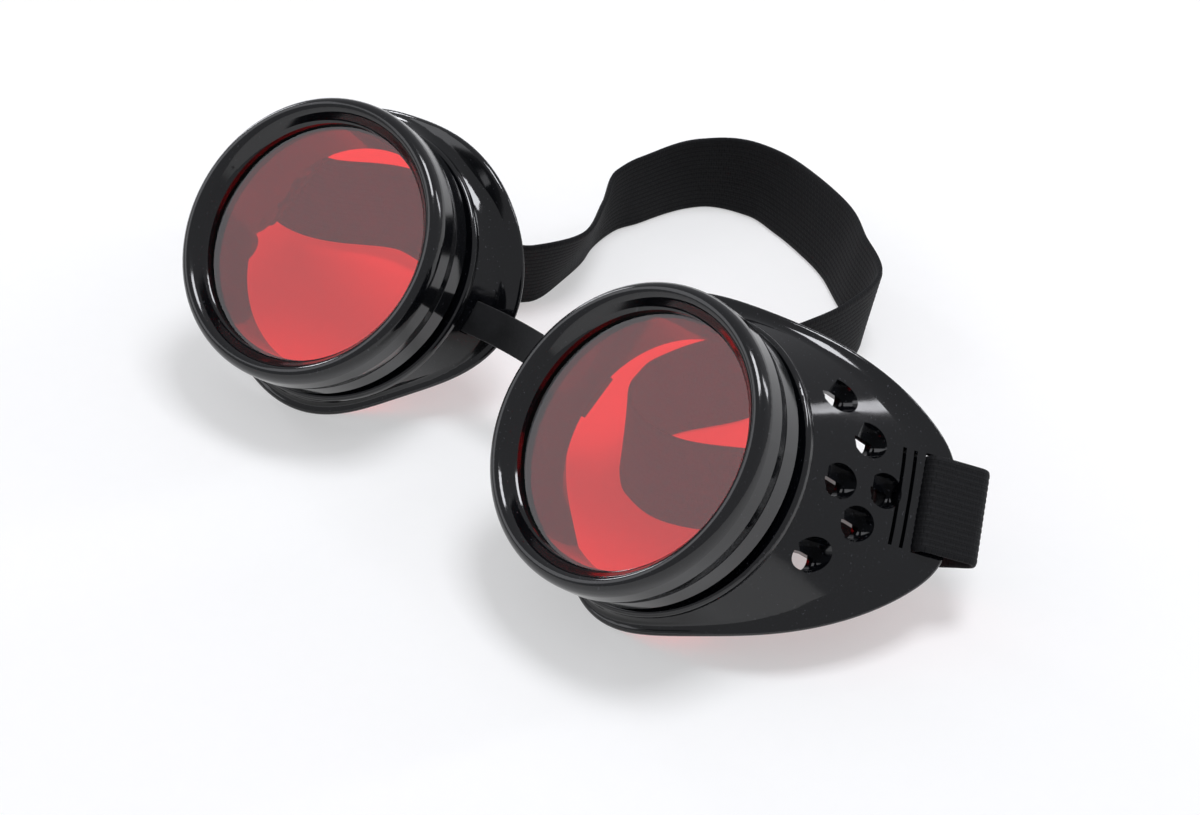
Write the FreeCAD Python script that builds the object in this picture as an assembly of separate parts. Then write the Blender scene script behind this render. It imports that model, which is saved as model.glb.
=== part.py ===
import FreeCAD, Part
import math
import os

# Driving sizes in millimetres and degrees. Depths run backwards from the front of the lens lip.
LENS_SPACING = 89.0
LENS_TILT_DEG = 47.3
TOE_IN_DEG = 8.7
TEMPLE_RISE_DEG = 32.0
TEMPLE_RISE_LEFT_DEG = 16.0

OPENING_R = 25.0
LENS_R = 26.0
LENS_T = 2.0
LENS_CLEARANCE = 0.3

RING_R = 30.0
RING_SKIRT_R = 29.4
RING_CREST = 3.4
RING_LIP_T = 1.2
RING_BACK = 10.4
RING_BEAD_BACK = 3.0
RING_STEP_BACK = 5.6
RING_STEP_W = 0.35

NECK_BORE_R = 24.4
NECK_R = 26.5
THREAD_CREST = 1.0
THREAD_PITCH = 3.0
THREAD_BASE_W = 1.2
THREAD_TIP_W = 0.5
THREAD_GAP = 0.35
THREAD_OVERLAP = 0.3

SHOULDER_R = 30.0
SHOULDER_FRONT = 13.0
SHOULDER_BACK = 15.4
SHOULDER_ROUND = 0.9
SHOULDER_TOP = 13.5

WALL_INSET = 1.6
WALL_R = SHOULDER_R - WALL_INSET
WALL_T = 2.2
WALL_RUNOUT = 46.0
FACE_FRONT = 17.6
FACE_SHIFT = -4.8
FACE_ROLL_DEG = 1.5
FLANGE_T = 1.5
FLANGE_LEDGE = 1.6
TEMPLE_REACH = 44.6
FACE_OVERHANG = 12.4
FACE_R = TEMPLE_REACH + FACE_OVERHANG
RIM_FILLET = 3.0

STRAP_W = 18.5
STRAP_T = 1.2
STRAP_GAP = 0.3
STRAP_REACH = 8.6
STRAP_FOLD_R = 2.2
STRAP_FOLD_DEG = 128.0
STRAP_TAIL = 7.0
STRAP_BEND_R = 1.4
SLOT_DEPTH = 37.9
SLIT_DEPTHS = (32.9, 35.1)
SLIT_W = 0.8
SLIT_L = 18.6

VENT_R = 3.3
VENT_SINK = 1.3
VENT_PAD_WALL = 1.3
VENT_LEDGE = 0.35

BRIDGE_W = 7.0
BRIDGE_T = 1.2
BRIDGE_DEPTH = 17.8
BRIDGE_GAP = 0.25
BRIDGE_HEAD_T = 1.6
BRIDGE_HEAD_PLAY = 0.8
BRIDGE_HEAD_EXTRA = 1.2

# Rim outline: radius about the lens axis as shares of the ring radius, from the temple direction.
RIM_COS_SHARES = (1.210, 0.154, 0.106, 0.064, 0.009, -0.009, 0.001)
RIM_SIN_SHARES = (0.046, -0.063, 0.022, -0.014, 0.008, 0.001)
WALL_TO_RIM_SHARE = 0.93
WALL_SLOPE_LIMIT = 0.70
WALL_SHARPNESS = 8.0
OUTLINE_POINTS = 48
TEMPLE_SHARPNESS = 60.0
BEAD_GROWTH_SHARE = 0.05
FILLET_SHARE = 0.8

# Rolled front of the ring: outward share of the bead's width, forward share of its crest.
RING_ROLL_SHARES = ((0.24, 0.52), (0.42, 0.88), (0.62, 1.0), (0.84, 0.84), (0.96, 0.50))
RING_SIDE_SHARE = 0.1

# Threads: number of turns, and how far the rearmost turn stands off the ring's back, in pitches.
RING_THREAD_TURNS = 1.25
RING_THREAD_SHARE = 0.9
NECK_THREAD_TURNS = 1.75
NECK_THREAD_SHARE = 0.4

# Vents: sideways offset as a share of the ring radius, depth as a share of the shoulder depth.
VENT_SHARES = ((0.52, 1.38), (0.28, 1.70), (-0.03, 1.38), (0.0, 1.96), (-0.25, 1.70), (-0.50, 1.36))

# Headband route seen from above, right arm to left arm, as shares of the lens spacing; then the
# height of the band's middle as a share of its width, how far the band has turned upright, and
# how far its upper edge leans out of the loop.
ROUTE_SHARES = (
    (0.833, 0.439, 0.62, 0.40, 0.00), (0.687, 0.383, 0.53, 0.80, 0.10), (0.546, 0.294, 0.49, 1.00, 0.25),
    (0.401, 0.216, 0.49, 1.00, 0.27), (0.317, 0.221, 0.49, 1.00, 0.20), (0.253, 0.256, 0.50, 1.00, 0.10),
    (0.211, 0.334, 0.50, 1.00, -0.05), (0.209, 0.407, 0.49, 1.00, -0.20),
    (0.269, 0.581, 0.46, 1.00, -0.45), (0.333, 0.749, 0.50, 1.00, 0.00), (0.350, 0.884, 0.50, 1.00, 0.05),
    (0.300, 1.036, 0.49, 1.00, 0.20), (0.208, 1.090, 0.48, 1.00, 0.28), (0.105, 1.157, 0.47, 1.00, 0.33),
    (-0.001, 1.198, 0.47, 1.00, 0.32), (-0.128, 1.227, 0.48, 1.00, 0.30),
    (-0.248, 1.227, 0.49, 1.00, 0.17), (-0.363, 1.154, 0.50, 1.00, 0.00),
    (-0.418, 0.988, 0.50, 1.00, -0.05), (-0.430, 0.910, 0.49, 1.00, -0.14),
    (-0.382, 0.785, 0.46, 1.00, -0.32), (-0.341, 0.672, 0.42, 1.00, -0.47),
    (-0.358, 0.540, 0.47, 1.00, -0.25), (-0.482, 0.478, 0.51, 0.85, 0.00),
    (-0.720, 0.490, 0.62, 0.45, 0.00))
ROUTE_STEPS = 220


def vec(x, y, z):
    return FreeCAD.Vector(x, y, z)


def rim_radius(angle):
    """Outer rim radius at an angle from the temple direction, blunted where the band passes."""
    total = 0.0
    for order, share in enumerate(RIM_COS_SHARES):
        total += share * math.cos(order * angle)
    for order, share in enumerate(RIM_SIN_SHARES):
        total += share * math.sin((order + 1) * angle)
    radius = total * RING_R
    reach = math.cos(angle) * radius / TEMPLE_REACH
    if reach > 0:
        radius *= (1.0 + reach ** TEMPLE_SHARPNESS) ** (-1.0 / TEMPLE_SHARPNESS)
    return radius


def face_depth(angle, radius, lift):
    """Depth of the face cylinder, grown by a lift, at an angle and radius about the lens axis."""
    reach = radius * math.cos(angle) - FACE_SHIFT
    roll = radius * math.sin(angle) * math.tan(math.radians(FACE_ROLL_DEG))
    grown = FACE_R + lift
    return FACE_FRONT + FACE_R - math.sqrt(grown * grown - reach * reach) - roll


def face_slope(angle, radius, lift):
    """Slope of the face cylinder away from the lens axis, in radians."""
    step = 0.01 * FLANGE_T
    rise = face_depth(angle, radius + step, lift) - face_depth(angle, radius - step, lift)
    return math.atan2(rise, 2.0 * step)


def wall_slope(angle):
    """Outward slope of the wall, which is straight from shoulder to flange and never too flat."""
    flare = WALL_TO_RIM_SHARE * (rim_radius(angle) - WALL_R - FLANGE_LEDGE)
    slope = flare / (face_depth(angle, WALL_R + flare, FLANGE_T) - SHOULDER_FRONT)
    steep = abs(slope / WALL_SLOPE_LIMIT) ** WALL_SHARPNESS
    return slope * (1.0 + steep) ** (-1.0 / WALL_SHARPNESS)


def wall_radius(angle, depth):
    """Outer wall radius at an angle and depth."""
    return WALL_R + wall_slope(angle) * (depth - SHOULDER_FRONT)


def wall_foot(angle, inset, lift):
    """Point where the wall, moved in by an inset, meets the face cylinder grown by a lift."""
    depth = SHOULDER_BACK
    for _ in range(60):
        radius = wall_radius(angle, depth) - inset
        depth = 0.5 * (depth + face_depth(angle, radius, lift))
    return vec(radius, 0, depth)


def angles():
    return [2.0 * math.pi * k / OUTLINE_POINTS for k in range(OUTLINE_POINTS)]


def closed_wire(points):
    """Smooth closed wire with evenly spaced parameters."""
    curve = Part.BSplineCurve()
    steps = [float(k) for k in range(len(points) + 1)]
    curve.interpolate(Points=points, Parameters=steps, PeriodicFlag=True)
    return Part.Wire(curve.toShape())


def outline_wire(radius_of, depth):
    spots = []
    for a in angles():
        r = radius_of(a)
        spots.append(vec(r * math.cos(a), r * math.sin(a), -depth))
    return closed_wire(spots)


def wall_solid(inset):
    """Solid filling the wall's outer skin, moved in by an inset."""
    front = outline_wire(lambda a: WALL_R - inset, SHOULDER_FRONT)
    rear = outline_wire(lambda a: wall_radius(a, WALL_RUNOUT) - inset, WALL_RUNOUT)
    return Part.makeLoft([front, rear], True, True)


def turned(points):
    """Solid of revolution about the lens axis from (radius, depth) pairs."""
    spots = [vec(r, 0, -d) for r, d in points]
    wire = Part.makePolygon(spots + [spots[0]])
    return Part.Face(wire).revolve(vec(0, 0, 0), vec(0, 0, 1), 360)


def ridge(root_r, tip_r, deep, turns):
    """Helical thread ridge; deep is the depth of its rearmost turn."""
    height = THREAD_PITCH * turns
    helix = Part.makeHelix(THREAD_PITCH, height, root_r)
    half_base = 0.5 * THREAD_BASE_W
    half_tip = 0.5 * THREAD_TIP_W
    spots = [vec(root_r, 0, -half_base), vec(tip_r, 0, -half_tip), vec(tip_r, 0, half_tip),
             vec(root_r, 0, half_base)]
    profile = Part.makePolygon(spots + [spots[0]])
    solid = Part.Wire(helix.Edges).makePipeShell([profile], True, True)
    solid.translate(vec(0, 0, -deep))
    return solid


def heading(slope):
    """Unit direction outwards along a slope, and the one square to it that faces the front."""
    return vec(math.cos(slope), 0, math.sin(slope)), vec(math.sin(slope), 0, -math.cos(slope))


def rim_section(angle):
    """Section of wall, fillet, flange and rounded edge at an angle: radius and depth, then placed."""
    top_out = vec(wall_radius(angle, SHOULDER_TOP), 0, SHOULDER_TOP)
    top_in = vec(top_out.x - WALL_T, 0, SHOULDER_TOP)
    corner = wall_foot(angle, 0.0, FLANGE_T)
    inner = wall_foot(angle, WALL_T, 0.0)
    rim = rim_radius(angle)
    bead = 0.5 * FLANGE_T + BEAD_GROWTH_SHARE * (rim - corner.x - FLANGE_LEDGE)
    along, front = heading(face_slope(angle, rim - bead, 0.5 * FLANGE_T))
    nose = vec(rim - bead, 0, face_depth(angle, rim - bead, 0.5 * FLANGE_T))
    crest = nose + front * bead
    tip = nose + along * bead
    back = nose - front * bead
    middle_r = 0.5 * (inner.x + back.x)
    back_bow = Part.BSplineCurve()
    back_bow.interpolate(Points=[back, vec(middle_r, 0, face_depth(angle, middle_r, 0.0)), inner])
    up = top_out - corner
    room = FILLET_SHARE * min(up.Length, (crest - corner).Length)
    reach = min(RIM_FILLET, room)
    up.normalize()
    out = heading(face_slope(angle, corner.x, FLANGE_T))[0]
    half = 0.5 * up.getAngle(out)
    between = up + out
    between.normalize()
    hollow = corner + between * (reach / math.cos(half) - reach * math.tan(half))
    diagonal = bead * math.sqrt(0.5)
    edges = [Part.LineSegment(top_out, corner + up * reach).toShape(),
             Part.Arc(corner + up * reach, hollow, corner + out * reach).toShape(),
             Part.LineSegment(corner + out * reach, crest).toShape(),
             Part.Arc(crest, nose + (front + along) * diagonal, tip).toShape(),
             Part.Arc(tip, nose + (along - front) * diagonal, back).toShape(),
             back_bow.toShape(),
             Part.LineSegment(inner, top_in).toShape(),
             Part.LineSegment(top_in, top_out).toShape()]
    wire = Part.Wire(edges)
    ex = vec(math.cos(angle), math.sin(angle), 0)
    ey = vec(-math.sin(angle), math.cos(angle), 0)
    wire.transformShape(frame_matrix(vec(0, 0, 0), ex, ey, vec(0, 0, -1)))
    return wire


def wall_frame(angle, depth):
    """Point, outward normal and run direction on the wall near an angle and depth."""
    r = wall_radius(angle, depth)
    slope = wall_slope(angle)
    out = vec(math.cos(angle), math.sin(angle), 0)
    point = vec(r * out.x, r * out.y, -depth)
    run = out * slope + vec(0, 0, -1)
    run.normalize()
    side = vec(-out.y, out.x, 0)
    normal = side.cross(run)
    if normal.dot(out) < 0:
        normal = normal * -1.0
    return point, normal, run


def block(point, normal, run, deep, along, wide):
    """Box centred on a wall point: through the wall, along the run and across it."""
    box = Part.makeBox(deep, along, wide, vec(-0.5 * deep, -0.5 * along, -0.5 * wide))
    side = normal.cross(run)
    box.transformShape(frame_matrix(point, normal, run, side))
    return box


def frame_matrix(origin, ex, ey, ez):
    return FreeCAD.Matrix(ex.x, ey.x, ez.x, origin.x, ex.y, ey.y, ez.y, origin.y,
                          ex.z, ey.z, ez.z, origin.z, 0, 0, 0, 1)


def vent_angle(sideways, depth):
    """Angle at which the wall at a depth is that far sideways from the temple line."""
    angle = 0.0
    for _ in range(20):
        angle = math.asin(sideways / wall_radius(angle, depth))
    return angle


def vent_tools(sideways, depth):
    """Backing pad, blind hole and lower slit of one vent; all vents are cut towards the temple."""
    surface = wall_radius(vent_angle(sideways, depth), depth) * math.cos(vent_angle(sideways, depth))
    floor = vec(surface - VENT_SINK, sideways, -depth)
    way = vec(1, 0, 0)
    long = 4.0 * VENT_R
    pad = Part.makeCylinder(VENT_R + VENT_PAD_WALL, long, floor - way * VENT_PAD_WALL, way)
    pad = pad.common(wall_solid(0.5 * WALL_T))
    hole = Part.makeCylinder(VENT_R, long, floor, way)
    slit = Part.makeCylinder(VENT_R - VENT_LEDGE, long, floor - way * long, way)
    lower = Part.makeBox(long, long, long, floor - vec(long, long, 0.5 * long))
    return pad, hole, slit.common(lower)


def eyecup(side):
    """Eyecup of a side in its own frame: temple, across, lens axis; without its thread."""
    seat = RING_LIP_T + LENS_T
    neck = turned([(NECK_BORE_R, seat), (NECK_R, seat), (NECK_R, SHOULDER_BACK), (NECK_BORE_R, SHOULDER_BACK)])
    rib = Part.makeCylinder(SHOULDER_R, SHOULDER_BACK - SHOULDER_FRONT, vec(0, 0, -SHOULDER_BACK))
    rib = rib.makeFillet(SHOULDER_ROUND, rib.Edges)
    rib = rib.cut(Part.makeCylinder(NECK_BORE_R, SHOULDER_BACK, vec(0, 0, -SHOULDER_BACK)))
    skin = Part.makeLoft([rim_section(a) for a in angles()], True, False, True)
    body = neck.fuse([rib, skin])
    cuts = [strap_end(STRAP_GAP), bridge_tab(side, BRIDGE_GAP, 4.0 * WALL_T)]
    for sideways_share, depth_share in VENT_SHARES:
        pad, hole, slit = vent_tools(sideways_share * RING_R, depth_share * SHOULDER_BACK)
        body = body.fuse(pad)
        cuts += [hole, slit]
    for depth in SLIT_DEPTHS:
        point, normal, run = wall_frame(0.0, depth)
        cuts.append(block(point, normal, run, 3.0 * WALL_T, SLIT_W, SLIT_L))
    for tool in cuts:
        body = body.cut(tool)
    return max(body.Solids, key=lambda solid: solid.Volume)


class Pen:
    """Draws a flat band of even thickness in a plane, from straight runs and turns."""

    def __init__(self, x, y, heading_deg, thick):
        self.at = (x, y)
        self.heading = math.radians(heading_deg)
        self.half = 0.5 * thick
        self.left = []
        self.right = []
        self.start = self.sides()

    def sides(self):
        dx = -math.sin(self.heading) * self.half
        dy = math.cos(self.heading) * self.half
        x, y = self.at
        return vec(x + dx, y + dy, 0), vec(x - dx, y - dy, 0)

    def run(self, length):
        before = self.sides()
        x, y = self.at
        self.at = (x + length * math.cos(self.heading), y + length * math.sin(self.heading))
        after = self.sides()
        self.left.append(Part.LineSegment(before[0], after[0]).toShape())
        self.right.append(Part.LineSegment(before[1], after[1]).toShape())

    def turn(self, degrees, radius):
        before = self.sides()
        x, y = self.at
        way = 1.0 if degrees > 0 else -1.0
        cx = x - way * radius * math.sin(self.heading)
        cy = y + way * radius * math.cos(self.heading)
        middle = self.arc_point(cx, cy, radius, way, 0.5 * degrees)
        after = self.arc_point(cx, cy, radius, way, degrees)
        self.heading += math.radians(degrees)
        self.at = (cx + way * radius * math.sin(self.heading), cy - way * radius * math.cos(self.heading))
        self.left.append(Part.Arc(before[0], middle[0], after[0]).toShape())
        self.right.append(Part.Arc(before[1], middle[1], after[1]).toShape())

    def arc_point(self, cx, cy, radius, way, degrees):
        angle = self.heading + math.radians(degrees)
        inner = radius - way * self.half
        outer = radius + way * self.half
        sx = way * math.sin(angle)
        sy = way * math.cos(angle)
        return vec(cx + inner * sx, cy - inner * sy, 0), vec(cx + outer * sx, cy - outer * sy, 0)

    def face(self):
        end = self.sides()
        cap_a = Part.LineSegment(self.start[1], self.start[0]).toShape()
        cap_b = Part.LineSegment(end[0], end[1]).toShape()
        return Part.Face(Part.Wire(self.left + [cap_b] + self.right[::-1] + [cap_a]))


def strap_pen(thick):
    """The band's path at the temple: hem, slot, flange, fold. Plane axes are temple and depth."""
    lean = math.degrees(math.atan(wall_slope(0.0)))
    middle_r = 0.5 * (wall_foot(0.0, 0.0, FLANGE_T).x + rim_radius(0.0))
    flange_deg = math.degrees(face_slope(0.0, middle_r, FLANGE_T))
    through = WALL_T
    out_x = math.cos(math.radians(lean))
    out_y = -math.sin(math.radians(lean))
    x = wall_radius(0.0, SLOT_DEPTH) - through * out_x + STRAP_BEND_R * (out_y - out_x)
    y = SLOT_DEPTH - through * out_y - STRAP_BEND_R * (out_x + out_y)
    x -= STRAP_TAIL * math.sin(math.radians(lean))
    y -= STRAP_TAIL * math.cos(math.radians(lean))
    pen = Pen(x, y, 90.0 - lean, thick)
    pen.run(STRAP_TAIL)
    pen.turn(-90.0, STRAP_BEND_R)
    pen.run(through + STRAP_GAP)
    pen.turn(lean + flange_deg, STRAP_BEND_R)
    pen.run(STRAP_REACH)
    pen.turn(STRAP_FOLD_DEG, STRAP_FOLD_R)
    return pen


def strap_end(extra):
    """End of the band in the cup frame, grown by an extra all round."""
    solid = strap_pen(STRAP_T + 2.0 * extra).face().extrude(vec(0, 0, STRAP_W + 2.0 * extra))
    solid.translate(vec(0, 0, -0.5 * STRAP_W - extra))
    solid.transformShape(frame_matrix(vec(0, 0, 0), vec(1, 0, 0), vec(0, 0, -1), vec(0, 1, 0)))
    return solid


def rise_angle(side):
    """How far a cup is turned about its lens; side is 1 for the right cup and -1 for the left."""
    return math.radians(TEMPLE_RISE_DEG if side > 0 else TEMPLE_RISE_LEFT_DEG)


def lens_axes(side):
    """Temple, across and axis directions of a cup."""
    tilt = math.radians(LENS_TILT_DEG)
    toe = math.radians(TOE_IN_DEG)
    rise = rise_angle(side)
    axis = vec(-side * math.sin(toe) * math.cos(tilt), -math.cos(toe) * math.cos(tilt), math.sin(tilt))
    level = vec(side * math.cos(toe), -math.sin(toe), 0)
    up = vec(side * math.sin(toe) * math.sin(tilt), math.cos(toe) * math.sin(tilt), math.cos(tilt))
    temple = level * math.cos(rise) + up * math.sin(rise)
    across = up * math.cos(rise) - level * math.sin(rise)
    return temple, across, axis


def cup_matrix(side, height):
    """Frame of a cup in the row, right-handed on both sides so that threads keep their hand."""
    temple, across, axis = lens_axes(side)
    centre = vec(side * 0.5 * LENS_SPACING, 0, height)
    return frame_matrix(centre, temple, axis.cross(temple), axis)


def moved(shape, matrix):
    copy = shape.copy()
    copy.transformShape(matrix)
    return copy


def handed(shape, side):
    """The shape itself for the right cup, its mirror image for the left one."""
    return shape if side > 0 else shape.mirror(vec(0, 0, 0), vec(0, 1, 0))


def nose_frame(side):
    """Middle of the nose wall at the bridge's depth, with the outward and upward directions."""
    rise = rise_angle(side)
    outward = vec(-math.cos(rise), math.sin(rise), 0)
    up = vec(math.sin(rise), math.cos(rise), 0)
    nose_r = wall_radius(math.pi - rise, BRIDGE_DEPTH) - 0.5 * WALL_T
    return outward * nose_r + vec(0, 0, -BRIDGE_DEPTH), outward, up


def bridge_tab(side, extra, length):
    """Straight end of the bridge strip in the cup frame, centred on the nose wall."""
    point, outward, up = nose_frame(side)
    box = Part.makeBox(length, BRIDGE_W + 2.0 * extra, BRIDGE_T + 2.0 * extra)
    box.translate(vec(-0.5 * length, -0.5 * BRIDGE_W - extra, -0.5 * BRIDGE_T - extra))
    box.transformShape(frame_matrix(point, outward, up, outward.cross(up)))
    return box


def lens_ring():
    """Screw-on ring: rolled front bead, two skirt bands with a fine groove, thread inside."""
    seat = RING_LIP_T + LENS_T
    bore = NECK_R + THREAD_CREST + THREAD_GAP
    pocket = LENS_R + LENS_CLEARANCE
    span = RING_R - OPENING_R
    lip = vec(OPENING_R, 0, 0)
    side_a = vec(RING_R, 0, RING_SIDE_SHARE * RING_CREST)
    front = Part.BSplineCurve()
    humps = []
    for out_share, up_share in RING_ROLL_SHARES:
        humps.append(vec(OPENING_R + out_share * span, 0, up_share * RING_CREST))
    front.interpolate(Points=[lip] + humps + [side_a])
    groove = RING_SKIRT_R - RING_STEP_W
    spots = [side_a, vec(RING_R, 0, -RING_BEAD_BACK), vec(RING_SKIRT_R, 0, -RING_STEP_BACK),
             vec(groove, 0, -RING_STEP_BACK - 0.5 * RING_STEP_W),
             vec(RING_SKIRT_R, 0, -RING_STEP_BACK - RING_STEP_W),
             vec(RING_SKIRT_R, 0, -RING_BACK + RING_STEP_W), vec(groove, 0, -RING_BACK), vec(bore, 0, -RING_BACK),
             vec(bore, 0, -seat + LENS_CLEARANCE), vec(pocket, 0, -seat + LENS_CLEARANCE),
             vec(pocket, 0, -RING_LIP_T), vec(OPENING_R, 0, -RING_LIP_T), lip]
    edges = [front.toShape()] + Part.makePolygon(spots).Edges
    body = Part.Face(Part.Wire(edges)).revolve(vec(0, 0, 0), vec(0, 0, 1), 360)
    root = bore + THREAD_OVERLAP
    deep = RING_BACK - RING_THREAD_SHARE * THREAD_PITCH
    thread = ridge(root, bore - THREAD_CREST, deep, RING_THREAD_TURNS)
    return body.fuse(thread)


def neck_thread():
    """Ridge on the cup neck, half a pitch away from the ridge in the ring."""
    deep = RING_BACK - NECK_THREAD_SHARE * THREAD_PITCH
    return ridge(NECK_R - THREAD_OVERLAP, NECK_R + THREAD_CREST, deep, NECK_THREAD_TURNS)


def lens():
    disc = Part.makeCylinder(LENS_R, LENS_T, vec(0, 0, -RING_LIP_T - LENS_T))
    return disc.makeChamfer(0.1 * LENS_T, disc.Edges[:1] + disc.Edges[2:])


def flat_bar(middle, outward, up, long, wide, thick):
    """Box centred on a point, with its length along outward and its width along up."""
    box = Part.makeBox(long, wide, thick, vec(-0.5 * long, -0.5 * wide, -0.5 * thick))
    box.transformShape(frame_matrix(middle, outward, up, outward.cross(up)))
    return box


def bridge_start(side, height):
    """Where the shortest tab on a side ends, in the row."""
    point, outward, up = nose_frame(side)
    spot = point + outward * WALL_T
    return cup_matrix(side, height).multiply(vec(spot.x, side * spot.y, spot.z))


def bridge_end(side, height, reach):
    """Tab through a cup's nose wall, from its stop head to a reach from the middle plane."""
    point, outward, up = nose_frame(side)
    extra = (abs(bridge_start(side, height).x) - reach) / math.cos(math.radians(TOE_IN_DEG))
    long = 2.0 * WALL_T + BRIDGE_HEAD_PLAY + extra
    tab = flat_bar(point + outward * (0.5 * (extra - BRIDGE_HEAD_PLAY)), outward, up, long, BRIDGE_W, BRIDGE_T)
    inside = point - outward * (WALL_T + BRIDGE_HEAD_PLAY + 0.5 * BRIDGE_HEAD_T)
    wide = BRIDGE_W + 2.0 * BRIDGE_HEAD_EXTRA
    head = flat_bar(inside, outward, up, BRIDGE_HEAD_T, wide, BRIDGE_T + BRIDGE_HEAD_EXTRA)
    return moved(handed(tab.fuse(head), side), cup_matrix(side, height))


def bridge_strip(height):
    """Flexible strip: a level bow between the cups, straight tabs and a stop head in each cup."""
    reach = min(abs(bridge_start(side, height).x) for side in (1, -1))
    toe = math.radians(TOE_IN_DEG)
    tilt = math.radians(LENS_TILT_DEG)
    first = bridge_start(1, height)
    along = vec(-math.cos(toe), math.sin(toe), 0)
    middle = first + along * ((first.x - reach) / math.cos(toe))
    wide = vec(math.sin(toe) * math.sin(tilt), math.cos(toe) * math.sin(tilt), math.cos(tilt))
    half_w = wide * (0.5 * BRIDGE_W)
    half_t = wide.cross(along) * (0.5 * BRIDGE_T)
    spots = [middle - half_w - half_t, middle + half_w - half_t, middle + half_w + half_t, middle - half_w + half_t]
    face = Part.Face(Part.makePolygon(spots + [spots[0]]))
    pivot = vec(0, middle.y - middle.x / math.tan(toe), 0)
    bow = face.revolve(pivot, vec(0, 0, 1), 2.0 * TOE_IN_DEG)
    return bow.fuse([bridge_end(side, height, reach) for side in (1, -1)]).removeSplitter()


def end_frame(side, height):
    """Where a folded end hands over to the long band: place, direction and width way."""
    pen = strap_pen(STRAP_T)
    matrix = cup_matrix(side, height)
    temple, across, axis = lens_axes(side)
    place = matrix.multiply(vec(pen.at[0], 0, -pen.at[1]))
    way = temple * math.cos(pen.heading) - axis * math.sin(pen.heading)
    return place, way, across


def long_band(height):
    """The band from one folded end to the other, upright on the table behind the cups."""
    first, way, first_across = end_frame(1, height)
    final, back_way, final_across = end_frame(-1, height)
    centres = [first]
    uprights = [0.0]
    leans = [0.0]
    for x_share, y_share, z_share, upright_share, lean_share in ROUTE_SHARES:
        centres.append(vec(x_share * LENS_SPACING, y_share * LENS_SPACING, z_share * STRAP_W))
        uprights.append(upright_share)
        leans.append(lean_share)
    centres.append(final)
    uprights.append(0.0)
    leans.append(0.0)
    lengths = [0.0]
    for a, b in zip(centres, centres[1:]):
        lengths.append(lengths[-1] + a.distanceToPoint(b))
    curve = Part.BSplineCurve()
    ends = {"InitialTangent": way, "FinalTangent": back_way * -1.0, "Scale": False}
    curve.interpolate(Points=centres, Parameters=lengths, **ends)
    wires = []
    for k in range(ROUTE_STEPS + 1):
        at = lengths[-1] * k / ROUTE_STEPS
        upright = blend_at(lengths, uprights, at)
        along = curve.tangent(at)[0]
        side = first_across if at < 0.5 * lengths[-1] else final_across
        outward = along.cross(vec(0, 0, 1))
        wide = side * (1.0 - upright) + vec(0, 0, 1) * upright + outward * blend_at(lengths, leans, at)
        wide = wide - along * wide.dot(along)
        wide.normalize()
        wires.append(band_section(curve.value(at), wide, along.cross(wide)))
        wires[-1].translate(vec(0, 0, max(0.0, -wires[-1].BoundBox.ZMin)))
    return Part.makeLoft(wires, True, True)


def headband(height):
    """One solid from the long band and its two folded ends, sewn where they meet."""
    places = [end_frame(side, height)[0] for side in (1, -1)]
    ends = [moved(strap_end(0.0), cup_matrix(side, height)) for side in (1, -1)]
    faces = []
    for solid in [long_band(height)] + ends:
        for face in solid.Faces:
            gap = min(face.CenterOfMass.distanceToPoint(place) for place in places)
            if gap > 0.5 * STRAP_T:
                faces.append(face)
    skin = Part.makeCompound(faces)
    skin.sewShape()
    solid = Part.makeSolid(Part.makeShell(skin.Faces))
    if solid.Volume < 0:
        solid.reverse()
    return solid


def blend_at(knots, values, at):
    for k in range(len(knots) - 1):
        if at <= knots[k + 1]:
            share = (at - knots[k]) / (knots[k + 1] - knots[k])
            share = share * share * (3.0 - 2.0 * share)
            return values[k] + (values[k + 1] - values[k]) * share
    return values[-1]


def band_section(centre, wide, through):
    half_w = wide * (0.5 * STRAP_W)
    half_t = through * (0.5 * STRAP_T)
    spots = [centre - half_w - half_t, centre + half_w - half_t, centre + half_w + half_t, centre - half_w + half_t]
    return Part.makePolygon(spots + [spots[0]])


def resting_height(cups):
    """Height of the lens centres that sets the lower cup's lowest point on the table."""
    lows = []
    for side, cup in cups.items():
        lows.append(moved(cup, cup_matrix(side, 0.0)).optimalBoundingBox(False, False).ZMin)
    return -min(lows)


def footprint_shift(shapes):
    """Move that puts the middle of the whole footprint at the origin, on the table."""
    boxes = [shape.optimalBoundingBox(False, False) for shape in shapes]
    x = 0.5 * (min(box.XMin for box in boxes) + max(box.XMax for box in boxes))
    y = 0.5 * (min(box.YMin for box in boxes) + max(box.YMax for box in boxes))
    return vec(-x, -y, -min(box.ZMin for box in boxes))


def build():
    os.makedirs("parts", exist_ok=True)
    cups = {side: handed(eyecup(side), side) for side in (1, -1)}
    height = resting_height(cups)
    nodes = {"bridge_strip": bridge_strip(height), "headband": headband(height)}
    for side, name in ((1, "right"), (-1, "left")):
        place = cup_matrix(side, height)
        nodes["eyecup_" + name] = moved(cups[side].fuse(neck_thread()), place)
        nodes["lens_ring_" + name] = moved(lens_ring(), place)
        nodes["lens_" + name] = moved(lens(), place)
    shift = footprint_shift(nodes.values())
    print("lens height", height, "shift", shift)
    for name, shape in nodes.items():
        shape.translate(shift)
        shape.exportStep("parts/" + name + ".step")
        print(name, shape.isValid(), len(shape.Solids), round(shape.Volume), shape.BoundBox)


if __name__ == "__main__":
    build()
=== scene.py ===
"""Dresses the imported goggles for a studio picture: plastics, tinted lenses, woven elastic and light."""

import logging
import math
from dataclasses import dataclass
from enum import Enum

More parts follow.
